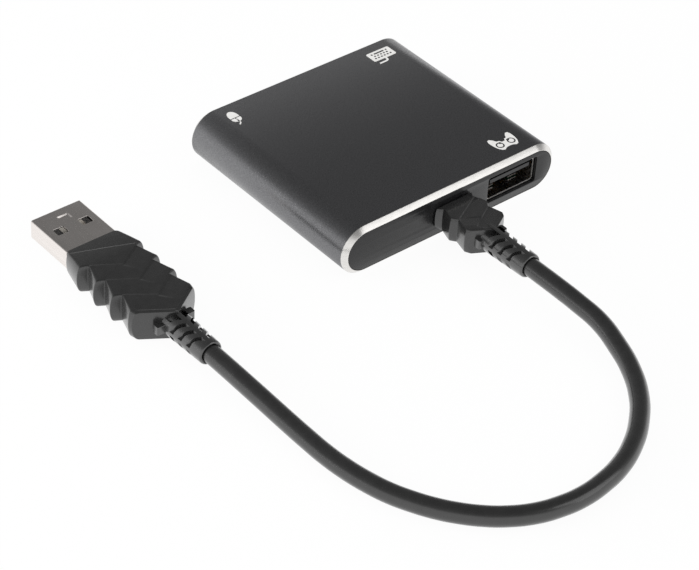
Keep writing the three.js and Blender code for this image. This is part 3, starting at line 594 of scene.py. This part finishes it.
# Grips on the plugs. A corner is half width, run from the front face, how far each swells at mid-height,
# and how much it is rounded. The top climbs from the front height to the full one over the slope's run.
# A crease is a step between two places, its drop, and the share of it that is left at the second place.
# The part behind it is the lower one, or the part before it where the drop is below zero: the first kind
# shows dark and the other catches light. Wall is the step's run, and ramp is the run of the rise after it.
largeGrip = {
    "name": "largeGrip",
    "middle": (-65.5, 3.3),
    "face": 9.2,
    "height": 6.6,
    "frontHeight": 5.0,
    "slope": 7.5,
    "wall": 0.26,
    "ramp": 3.6,
    "corners": [
        (5.5, 0, 0.5, 0, 0), (5.95, 0.5, 0.65, 0, 0.4), (6.75, 6.2, 1.4, 0.3, 0.15),
        (6.1, 6.6, 0.95, 0.3, 0.08), (5.5, 7.0, 0.5, 0.3, 0.1), (6.75, 11.8, 1.4, 0.3, 0.15),
        (6.1, 12.2, 0.95, 0.3, 0.08), (5.5, 12.6, 0.5, 0.3, 0.1), (6.75, 17.4, 1.4, 0.3, 0.15),
        (6.1, 17.8, 0.95, 0.3, 0.08), (5.5, 18.2, 0.5, 0.3, 0.1), (6.75, 23.0, 1.1, 0.3, 0.15),
        (6.4, 24.8, 1.2, -0.6, 0.15), (0, 28.9, 0, 0.1, 0),
    ],
    "creases": [
        ((-6.1, 1.2), (6.6, 7.0), -0.07, 1.0),
        ((-5.6, 7.2), (-0.1, 10.6), -0.06, 0.5), ((5.6, 7.2), (0.1, 10.6), 0.2, 0.5),
        ((-5.6, 12.8), (-0.1, 16.2), -0.06, 0.5), ((5.6, 12.8), (0.1, 16.2), 0.2, 0.5),
        ((-5.6, 18.4), (-0.1, 22.3), -0.06, 0.7), ((5.6, 18.4), (0.1, 22.3), 0.2, 0.7),
        ((-5.9, 24.1), (0.0, 27.9), -0.07, 1.0), ((5.9, 24.1), (0.0, 27.9), 0.16, 1.0),
    ],
}
smallGrip = {
    "name": "smallGrip",
    "middle": (0.0, 5.75),
    "face": -26.0,
    "height": 5.8,
    "frontHeight": 4.9,
    "slope": 3.2,
    "wall": 0.3,
    "ramp": 2.6,
    "corners": [
        (4.6, 0, 0.5, 0, 0), (3.9, 1.2, 0.4, 0.15, 0.12), (4.8, 4.45, 0.55, 0.2, 0.2),
        (4.35, 5.1, 0.48, 0.2, 0.08), (3.9, 5.7, 0.4, 0.2, 0.12), (4.8, 9.1, 0.55, 0.2, 0.25),
        (4.2, 10.3, 0.55, -0.3, 0.25), (0, 12.6, 0, 0.1, 0),
    ],
    "creases": [
        ((-3.3, 5.2), (3.9, 1.5), 0.28, 1.0), ((-2.2, 9.2), (3.8, 5.8), 0.28, 1.0),
        ((-3.2, 5.3), (0.2, 7.4), 0.22, 0.8),
        ((-4.0, 9.6), (0.0, 11.9), 0.14, 1.0), ((4.0, 9.6), (0.0, 11.9), 0.14, 1.0),
    ],
}
gripMesh = {
    "across": 96,
    "under": 12,
    "aside": 14,
    "step": 0.11,
    "cornerSteps": 5,
    "cornerShare": 0.45,
    "endFade": 0.08,
    "easing": 1.5,
    "sharp": 50,
}


# The grip's outline with its corners rounded and its long runs split, as corners without their rounding
def gripStations(corners):
    stations = []
    points = [Vector(corner[:4]) for corner in corners]
    for index, corner in enumerate(corners):
        here = points[index]
        if index in (0, len(corners) - 1) or corner[4] == 0:
            stations.append(here)
            continue
        towards = [points[index + step] - here for step in (-1, 1)]
        spans = [math.hypot(way[0], way[1]) for way in towards]
        reach = min(corner[4], *(gripMesh["cornerShare"] * span for span in spans))
        start, stop = (here + way * (reach / span) for way, span in zip(towards, spans))
        for step in range(gripMesh["cornerSteps"] + 1):
            t = step / gripMesh["cornerSteps"]
            stations.append(start * (1 - t) ** 2 + here * (2 * t * (1 - t)) + stop * t**2)
    fine = [stations[0]]
    for before, after in zip(stations, stations[1:]):
        span = math.hypot(after[0] - before[0], after[1] - before[1])
        count = max(1, math.ceil(span / gripMesh["step"]))
        fine += [before.lerp(after, step / count) for step in range(1, count + 1)]
    return fine


# How far the creases lower the top at one place. A crease fades in and out at its ends.
def creaseDepth(grip, x, run):
    depth, ends = 0.0, gripMesh["endFade"]
    for (xa, ra), (xb, rb), drop, keep in grip["creases"]:
        length = math.hypot(xb - xa, rb - ra)
        alongX, alongRun = (xb - xa) / length, (rb - ra) / length
        sign = 1 if alongX > 0 else -1
        share = ((x - xa) * alongX + (run - ra) * alongRun) / length
        behind = sign * ((run - ra) * alongX - (x - xa) * alongRun)
        if drop < 0:
            behind = -behind
        if behind <= 0 or share < -ends or share > 1 + ends:
            continue
        fade = min(1.0, (share + ends) / ends, (1 + ends - share) / ends)
        fade *= 1 - (1 - keep) * min(1.0, max(0.0, share))
        rise = min(1.0, behind / grip["wall"])
        fall = max(0.0, 1 - max(0.0, behind - grip["wall"]) / grip["ramp"])
        depth = max(depth, abs(drop) * fade * rise * rise * (3 - 2 * rise) * fall)
    return depth


def makeGrip(grip):
    stations = gripStations(grip["corners"])
    across, under, aside = gripMesh["across"], gripMesh["under"], gripMesh["aside"]
    spread = [2 * place / across - 1 for place in range(across + 1)]
    underSpread = [1 - 2 * place / under for place in range(under + 1)]
    turns = [math.radians(90 - 180 * place / aside) for place in range(1, aside)]
    x0, z0 = grip["middle"]
    points = []
    for half, run, swell, swellRun in stations:
        climb = 1 - (1 - min(1.0, run / grip["slope"])) ** gripMesh["easing"]
        tall = (grip["frontHeight"] + (grip["height"] - grip["frontHeight"]) * climb) / 2
        ring = [(u * half, run, tall - creaseDepth(grip, u * half, run)) for u in spread]
        side = [(half + swell * math.cos(a), run + swellRun * math.cos(a), tall * math.sin(a)) for a in turns]
        ring += side
        ring += [(u * half, run, -tall) for u in underSpread]
        ring += [(-x, y, z) for x, y, z in reversed(side)]
        points += [(x0 + x, grip["face"] - y, z0 + z) for x, y, z in ring]
    faces = loftFaces(len(stations), len(ring), lastCap=False)
    return bakePiece(grip["name"], points, faces, [mouldedPvc], sharp=gripMesh["sharp"])


largeGripPiece = makeGrip(largeGrip)
smallGripPiece = makeGrip(smallGrip)
print("grips made")

# Strain reliefs: slots that slant back towards a spine, repeated by nodes, and two wings at the root.
# Slots and windows are cut down to a core. The spine above it and the rib at each side stay uncut.
# Past is how far a cutter reaches beyond the skin, and windowPast how far beyond the root.
strainRelief = {
    "coreRadius": 2.05,
    "coreLength": 80.0,
    "coreSides": 72,
    "rootRadius": 2.95,
    "length": 10.5,
    "reach": 2.2,
    "roundSteps": 96,
    "rim": [
        (2.2, 0.6), (2.2, 0.1), (2.23, 0.03), (2.3, 0.0), (2.4, 0.03), (2.5, 0.11), (2.58, 0.22),
        (2.63, 0.35), (2.66, 0.5),
    ],
    "slot": {"first": 4.12, "pitch": 2.44, "width": 1.15, "rows": 3, "rib": 0.4},
    "slant": 0.9,
    "spine": 0.5,
    "windowHalf": 2.2,
    "past": 0.5,
    "windowPast": 4.0,
    "wing": {"run": 0.6, "height": 2.0, "corner": 0.3},
    "soft": {"width": 0.07, "segments": 2, "angle": 38},
    "sharp": 40,
}


# Four cuts, left and right of the spine and above and below the rib; run is where they meet the side
def slantedCuts(name, run, across, rib):
    skin = strainRelief["rootRadius"]
    outside = skin + strainRelief["past"]
    plan = [(across[0], run[0]), (across[1], run[0]), (across[1], run[1]), (across[0], run[1])]
    sides = ((0, 1, 2, 3), (4, 5, 6, 7), (0, 1, 5, 4), (1, 2, 6, 5), (2, 3, 7, 6), (3, 0, 4, 7))
    points, faces = [], []
    for side in (-1, 1):
        for low, high in ((rib, outside), (-outside, -rib)):
            faces += [tuple(len(points) + corner for corner in corners) for corners in sides]
            points += [
                (side * x, y - strainRelief["slant"] * (skin - x), z) for z in (low, high) for x, y in plan
            ]
    return bakePiece(name, points, faces, [shinyPvc])


def reliefTree():
    tree = bpy.data.node_groups.new("slottedRelief", "GeometryNodeTree")
    sockets = {
        "Skin": "Geometry", "Slot": "Object", "Window": "Object", "Wings": "Object", "Rows": "Int",
        "Pitch": "Float", "First": "Float", "Core Radius": "Float", "Core Length": "Float",
        "Finish": "Material",
    }
    for name, kind in sockets.items():
        tree.interface.new_socket(name, in_out="INPUT", socket_type="NodeSocket" + kind)
    tree.interface.new_socket("Relief", in_out="OUTPUT", socket_type="NodeSocketGeometry")
    given = addNode(tree, "NodeGroupInput").outputs
    slot, window, wings = (
        addNode(tree, "GeometryNodeObjectInfo", links={"Object": given[name]}).outputs["Geometry"]
        for name in ("Slot", "Window", "Wings")
    )
    first, step = (
        addNode(tree, "ShaderNodeCombineXYZ", links={"Y": given[name]}).outputs[0]
        for name in ("First", "Pitch")
    )
    places = {"Count": given["Rows"], "Start Location": first, "Offset": step}
    row = addNode(tree, "GeometryNodeMeshLine", links=places).outputs["Mesh"]
    onRow = addNode(tree, "GeometryNodeInstanceOnPoints", links={"Points": row, "Instance": slot})
    slots = addNode(tree, "GeometryNodeRealizeInstances", links={0: onRow.outputs["Instances"]})
    cuts = addNode(tree, "GeometryNodeJoinGeometry", links={0: [slots.outputs[0], window]})
    core = addNode(
        tree,
        "GeometryNodeMeshCylinder",
        {"Vertices": strainRelief["coreSides"]},
        {"Radius": given["Core Radius"], "Depth": given["Core Length"]},
    )
    quarter = {"Rotation": (math.pi / 2, 0, 0)}
    turned = addNode(tree, "GeometryNodeTransform", quarter, {"Geometry": core.outputs["Mesh"]})
    aroundCore = addNode(
        tree,
        "GeometryNodeMeshBoolean",
        {"operation": "DIFFERENCE"},
        {"Mesh 1": cuts.outputs[0], "Mesh 2": turned.outputs[0]},
    )
    cutSkin = addNode(
        tree,
        "GeometryNodeMeshBoolean",
        {"operation": "DIFFERENCE"},
        {"Mesh 1": given["Skin"], "Mesh 2": aroundCore.outputs["Mesh"]},
    )
    whole = addNode(
        tree, "GeometryNodeMeshBoolean", {"operation": "UNION"}, {"Mesh 2": [cutSkin.outputs["Mesh"], wings]}
    )
    real = addNode(tree, "GeometryNodeRealizeInstances", links={0: whole.outputs["Mesh"]})
    painted = {"Geometry": real.outputs[0], "Material": given["Finish"]}
    paint = addNode(tree, "GeometryNodeSetMaterial", links=painted)
    addNode(tree, "NodeGroupOutput", links={0: paint.outputs[0]})
    return tree


def setInput(modifier, tree, name, value):
    socket = next(item for item in tree.interface.items_tree if item.name == name and item.in_out == "INPUT")
    modifier[socket.identifier] = value


def makeRelief(name, tree, place, wingHalf):
    data, slot, wing = strainRelief, strainRelief["slot"], strainRelief["wing"]
    root, end = data["rootRadius"], data["length"]
    across = (data["spine"], root + data["past"])
    slotCuts = slantedCuts("slotCuts", (-slot["width"] / 2, slot["width"] / 2), across, slot["rib"])
    ring = slot["first"] + slot["rows"] * slot["pitch"] - slot["width"] / 2
    window = (ring, end + data["reach"] + data["windowPast"])
    windowCuts = slantedCuts("windowCuts", window, (data["spine"], data["windowHalf"]), wing["height"] / 2)
    length = data["reach"] - wing["run"]
    middle = end + wing["run"] + length / 2
    points = []
    for z in (-wing["height"] / 2, wing["height"] / 2):
        points += [(x, middle + y, z) for x, y in roundedRing(2 * wingHalf, length, wing["corner"], 4)]
    wings = bakePiece("wings", points, loftFaces(2, len(points) // 2), [shinyPvc])
    profile = data["rim"] + [(root, end), (root, end + data["reach"])]
    steps = data["roundSteps"]
    points = [
        (radius * math.cos(2 * math.pi * step / steps), y, radius * math.sin(2 * math.pi * step / steps))
        for radius, y in profile
        for step in range(steps)
    ]
    piece = bakePiece(name, points, loftFaces(len(profile), steps), [shinyPvc])
    repeat = piece.modifiers.new("slots", "NODES")
    repeat.node_group = tree
    given = {
        "Slot": slotCuts, "Window": windowCuts, "Wings": wings, "Finish": shinyPvc, "Rows": slot["rows"],
        "Pitch": slot["pitch"] * mm, "First": slot["first"] * mm,
        "Core Radius": data["coreRadius"] * mm, "Core Length": data["coreLength"] * mm,
    }
    for key, value in given.items():
        setInput(repeat, tree, key, value)
    settle(piece, data["sharp"])
    for cutter in (slotCuts, windowCuts, wings):
        bpy.data.objects.remove(cutter)
    soften(piece, data["soft"], data["sharp"])
    piece.data.transform(Matrix.Translation(Vector(place) * mm))
    return piece


slottedRelief = reliefTree()
largeReliefPiece = makeRelief("largeRelief", slottedRelief, (-65.5, -30.3, 3.3), 4.5)
smallReliefPiece = makeRelief("smallRelief", slottedRelief, (0, -49.2, 5.75), 3.8)
print("strain reliefs made")

# Steel shell of the large plug, with its windows and the pressed dimple behind its mouth.
# The mouth's rounding is how far from the outer or inner skin and how far behind the tip each place is.
# The dimple's cutter grows upwards, so that the dimple has sloping sides.
plugShell = {
    "middle": (-65.5, 3.3),
    "base": 9.25,
    "floor": 0.6,
    "tip": 21.95,
    "width": 12.1,
    "height": 4.5,
    "sheet": 0.3,
    "corner": 0.5,
    "cornerFollow": 0.9,
    "mouthOutside": [(0.0, 0.1), (0.03, 0.03), (0.1, 0.0)],
    "mouthInside": [(0.1, 0.0), (0.02, 0.04), (0.0, 0.12)],
    "window": (2.5, 2.1),
    "windowCorner": 0.15,
    "windowPlaces": [(-3.0, 15.65), (3.0, 15.65)],
    "windowPast": 1.0,
    "dimple": (2.3, 1.2, 0.26),
    "dimpleCorner": 0.2,
    "dimpleGrow": 0.52,
    "dimplePlace": (0.15, 19.0),
    "soft": {"width": 0.09, "segments": 3, "angle": 50},
    "sharp": 14,
}


def cutterBlock(name, centre, size, corner, grow=0.0):
    points = []
    for z, extra in ((-size[2] / 2, 0.0), (size[2] / 2, grow)):
        ring = roundedRing(size[0] + 2 * extra, size[1] + 2 * extra, corner, 4)
        points += [(centre[0] + a, centre[1] + b, centre[2] + z) for a, b in ring]
    return bakePiece(name, points, loftFaces(2, len(ring)), [rolledSteel])


def makePlugShell():
    data = plugShell
    x0, z0 = data["middle"]
    base, tip, sheet = data["base"], data["tip"], data["sheet"]
    run = [(0.0, base)]
    run += [(inset, tip - behind) for inset, behind in data["mouthOutside"]]
    run += [(sheet - inset, tip - behind) for inset, behind in data["mouthInside"]]
    run.append((sheet, base + data["floor"]))
    points = []
    for inset, y in run:
        corner = data["corner"] - inset * data["cornerFollow"]
        ring = roundedRing(data["width"] - 2 * inset, data["height"] - 2 * inset, corner)
        points += [(x0 + a, y, z0 + b) for a, b in ring]
    piece = bakePiece("plugShell", points, loftFaces(len(run), len(ring)), [rolledSteel])
    window = (*data["window"], data["height"] + 2 * data["windowPast"])
    cutters = [
        cutterBlock("windowCutter", (x0 + x, y, z0), window, data["windowCorner"])
        for x, y in data["windowPlaces"]
    ]
    wide, deep, low = data["dimple"]
    place = (x0 + data["dimplePlace"][0], data["dimplePlace"][1], z0 + data["height"] / 2)
    size = (wide, deep, 2 * low)
    cutters.append(cutterBlock("dimpleCutter", place, size, data["dimpleCorner"], data["dimpleGrow"]))
    for cutter in cutters:
        cut = piece.modifiers.new("cut", "BOOLEAN")
        cut.operation = "DIFFERENCE"
        cut.solver = "EXACT"
        cut.object = cutter
    settle(piece)
    for cutter in cutters:
        bpy.data.objects.remove(cutter)
    return soften(piece, data["soft"], data["sharp"])


plugShellPiece = makePlugShell()
print("plug shell made")

# Black insulator of each USB port: a tongue with a chamfered lower edge, which shows as one straight band,
# on a rear block. The contacts are set into its underside.
insulator = {
    "tongueWidth": 11.1,
    "tongueHeights": (6.56, 7.76),
    "chamfer": 0.3,
    "blockWidth": 11.5,
    "blockHeights": (3.54, 8.46),
    "faces": (24.75, 15.75, 11.35),
    "overlap": 0.3,
    "places": {"gamepad_port": (16.65, -1), "mouse_port": (-16.65, 1), "keyboard_port": (16.65, 1)},
}


def makeInsulator(port):
    middle, way = insulator["places"][port]
    tip, front, back = insulator["faces"]
    floor, roof = insulator["tongueHeights"]
    cut, half = insulator["chamfer"], insulator["tongueWidth"] / 2
    root = front - insulator["overlap"]
    side = [(tip, roof), (tip, floor + cut), (tip - cut, floor), (root, floor), (root, roof)]
    points = [(middle + x, way * y, z) for x in (-half, half) for y, z in side]
    faces = loftFaces(2, len(side))
    wide = insulator["blockWidth"] / 2
    near, far = sorted((way * front, way * back))
    low, high = insulator["blockHeights"]
    addBox(points, faces, (middle - wide, near, low), (middle + wide, far, high))
    return bakePiece(port + "Insulator", points, faces, [polishedAbs])


insulatorPieces = [(makeInsulator(port), port) for port in insulator["places"]]
print("port insulators made")

# Pieces that keep the frame's own solids get their finish
nodeFinishes = {
    "main_board": resistPaintedShade,
    "controller_chip": mouldedEpoxy,
    "host_chip": mouldedEpoxy,
    "crystal": nickelPlate,
    "regulator": mouldedEpoxy,
    "power_inductor": mouldedEpoxy,
    "console_port_shell": springSteel,
    "console_port_tongue": mouldedNylon,
    "console_plug_shell": rolledSteel,
    "console_plug_insert": mouldedNylon,
    "usb_plug_insert": insertNylonPaintedLight,
}
for number in (1, 2, 3, 4):
    nodeFinishes[f"capacitor_{number}"] = firedCeramic
    nodeFinishes[f"usb_plug_contact_{number}"] = nickelPlate
for port in ("gamepad_port", "mouse_port", "keyboard_port"):
    nodeFinishes[f"{port}_shell"] = springSteel
    for number in (1, 2, 3, 4):
        nodeFinishes[f"{port}_contact_{number}"] = giltBronze
for name, finish in nodeFinishes.items():
    for slot in nodes[name].material_slots:
        slot.material = finish
print("frame nodes finished:", len(nodeFinishes))


# Floor, backdrop and light. A shine sees a wall that gets darker along wallUp, from level to level.
# The object is lit by the plain level and the lamps, and the camera sees white behind it.
studio = {
    "floorHeight": -0.03,
    "floorSize": 6000.0,
    "floorGrey": 0.9,
    "floorRough": 0.9,
    "whiteShare": 0.95,
    "worldLevel": 0.8,
    "wallUp": (0.195, 0.217, 0.956),
    "wallLevels": [(0.0, 1.0), (0.22, 0.9), (0.4, 0.36), (0.6, 0.23), (0.9, 0.14)],
    "aim": (-20, -20, 0),
    "lamps": {
        "leftPanel": {"at": (-560, 300, 140), "size": (500, 300), "level": 9.0, "mirrored": False},
        "rightFrontPanel": {"at": (330, -480, 400), "size": (400, 400), "level": 1.1},
    },
}


# One for a ray that shows the surface, straight or by way of a shine or a clear piece, and nought for light
def seenShare(tree):
    path = addNode(tree, "ShaderNodeLightPath").outputs
    seen = path["Is Camera Ray"]
    for kind in ("Is Glossy Ray", "Is Transmission Ray"):
        seen = addNode(tree, "ShaderNodeMath", {"operation": "MAXIMUM"}, {0: seen, 1: path[kind]}).outputs[0]
    return seen


def makeFloor():
    size, height, grey = studio["floorSize"] / 2, studio["floorHeight"], studio["floorGrey"]
    points = [(-size, -size, height), (size, -size, height), (size, size, height), (-size, size, height)]
    material = bpy.data.materials.new("whiteFloor")
    material.use_nodes = True
    tree = material.node_tree
    matt = {"Base Color": (grey, grey, grey, 1), "Roughness": studio["floorRough"], "Specular IOR Level": 0.0}
    shader = addNode(tree, "Principled BSDF", matt)
    glow = addNode(tree, "ShaderNodeEmission", {"Strength": 1.0})
    product = {"operation": "MULTIPLY", 1: studio["whiteShare"]}
    share = addNode(tree, "ShaderNodeMath", product, {0: seenShare(tree)})
    mixed = {0: share.outputs[0], 1: shader.outputs[0], 2: glow.outputs[0]}
    mix = addNode(tree, "ShaderNodeMixShader", links=mixed)
    addNode(tree, "Material Output", links={"Surface": mix.outputs[0]})
    bakePiece("floor", points, [(0, 1, 2, 3)], [material])


def lightStudio():
    world = bpy.data.worlds.new("studioWorld")
    bpy.context.scene.world = world
    world.use_nodes = True
    world.cycles.sampling_method = "NONE"
    tree = world.node_tree
    way = addNode(tree, "ShaderNodeTexCoord").outputs["Generated"]
    rise = addNode(tree, "ShaderNodeVectorMath", {"operation": "DOT_PRODUCT", 1: studio["wallUp"]}, {0: way})
    stops = [(place, (level, level, level, 1)) for place, level in studio["wallLevels"]]
    wall = addNode(tree, "ShaderNodeValToRGB", {"stops": stops}, {"Fac": rise.outputs["Value"]})
    path = addNode(tree, "ShaderNodeLightPath").outputs
    level = studio["worldLevel"]
    shown = addNode(
        tree,
        "ShaderNodeMix",
        {"data_type": "RGBA", "A": (level, level, level, 1)},
        {"Factor": path["Is Glossy Ray"], "B": wall.outputs["Color"]},
    )
    plain = addNode(tree, "Background", links={"Color": shown.outputs["Result"]})
    white = addNode(tree, "ShaderNodeBackground", {"Color": (1, 1, 1, 1)})
    mixed = {0: path["Is Camera Ray"], 1: plain.outputs[0], 2: white.outputs[0]}
    mix = addNode(tree, "ShaderNodeMixShader", links=mixed)
    addNode(tree, "World Output", links={"Surface": mix.outputs[0]})
    for name, lamp in studio["lamps"].items():
        light = bpy.data.lights.new(name, "AREA")
        light.shape = "RECTANGLE"
        light.size, light.size_y = (side * mm for side in lamp["size"])
        light.energy = lamp["level"] * math.pi * light.size * light.size_y
        panelLamp = bpy.data.objects.new(name, light)
        at = Vector(lamp["at"]) * mm
        aim = at - Vector(studio["aim"]) * mm
        panelLamp.matrix_world = Matrix.Translation(at) @ aim.to_track_quat("Z", "Y").to_matrix().to_4x4()
        panelLamp.visible_glossy = lamp.get("mirrored", True)
        bpy.context.collection.objects.link(panelLamp)


makeFloor()
lightStudio()
bpy.context.scene.view_settings.view_transform = "Standard"
print("studio lit")

# What each piece rides on, and what it stands for
pieceFacts = [
    (sleevePiece, "case", "anodised_case", ["case_sleeve"]),
    (frontPlatePiece, "case", "gloss_black", ["front_plate"]),
    (rearPlatePiece, "case", "gloss_black", ["rear_plate"]),
    (largeGripPiece, "cable", "grip_grey", ["usb_plug_overmould"]),
    (smallGripPiece, "cable", "grip_grey", ["console_plug_overmould"]),
    (largeReliefPiece, "cable", "grip_grey", ["usb_strain_relief"]),
    (smallReliefPiece, "cable", "grip_grey", ["console_strain_relief"]),
    (plugShellPiece, "cable", "steel", ["usb_plug_shell"]),
    (cordPiece, "cable", "cord_skin", ["cord"]),
]
for piece, body, slotName, stoodFor in pieceFacts:
    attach(piece, body)
    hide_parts(*stoodFor)
for piece, port in insulatorPieces:
    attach(piece, "case")
    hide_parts(port + "_tongue")
for piece in legendPieces:
    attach(piece, "case")
print("pieces riding")
